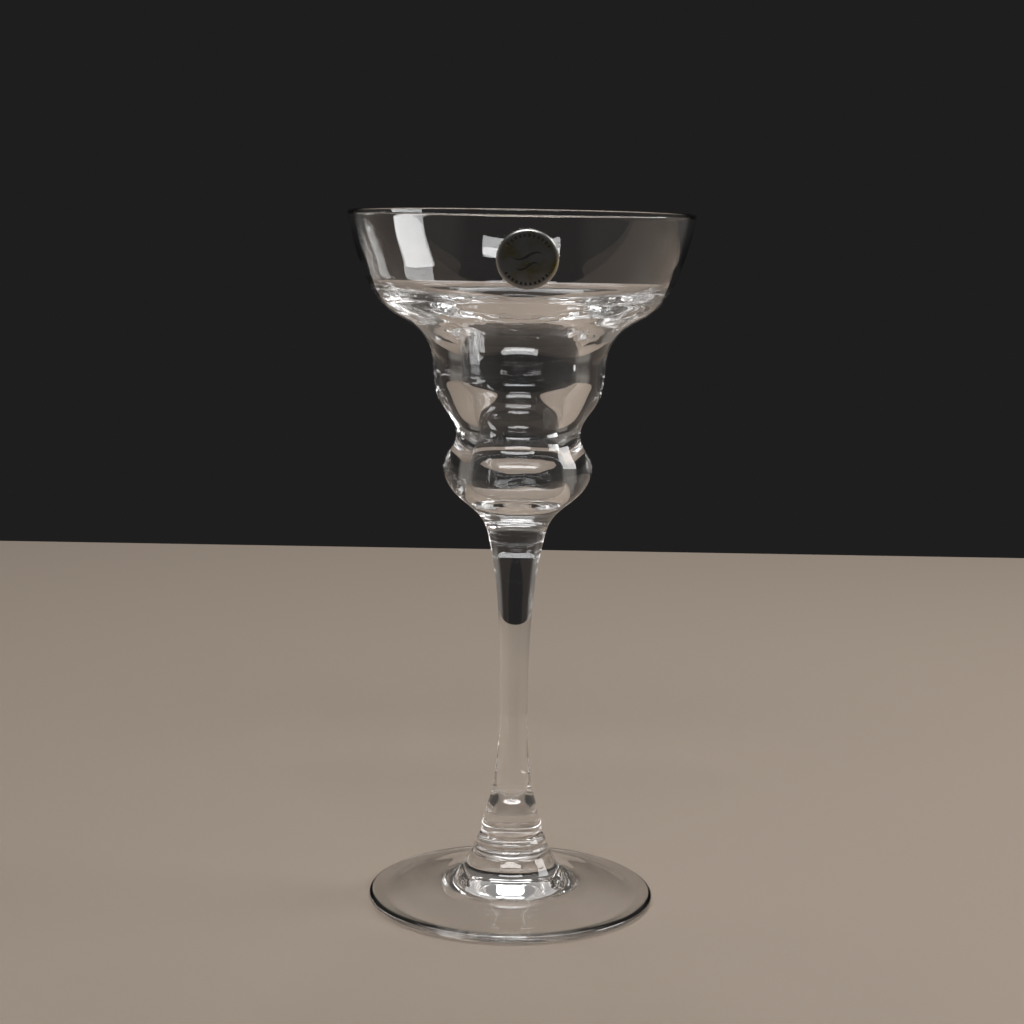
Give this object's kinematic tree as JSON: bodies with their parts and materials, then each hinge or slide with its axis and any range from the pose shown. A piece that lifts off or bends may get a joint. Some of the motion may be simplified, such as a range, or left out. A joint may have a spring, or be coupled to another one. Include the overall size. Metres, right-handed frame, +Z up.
{
  "type": "stem glass",
  "caption": "Clear crystal stem glass: wide saucer bowl over a narrow stepped cup, on a thin drawn stem and a round foot, for sherbet or cocktails.",
  "frame": {"origin": "centre of the circle that the foot stands on", "axes": "+Z up along the axis of the glass, -Y towards the front, where the sticker is"},
  "size_m": [0.0882, 0.0882, 0.18],
  "materials": {
    "crystal": "clear, fire-polished",
    "foil": "metallised film, gloss"
  },
  "bodies": {
    "root": {"foot": "crystal", "collar": "crystal", "stem": "crystal", "bowl": "crystal", "sticker": "foil"}
  },
  "joints": []
}
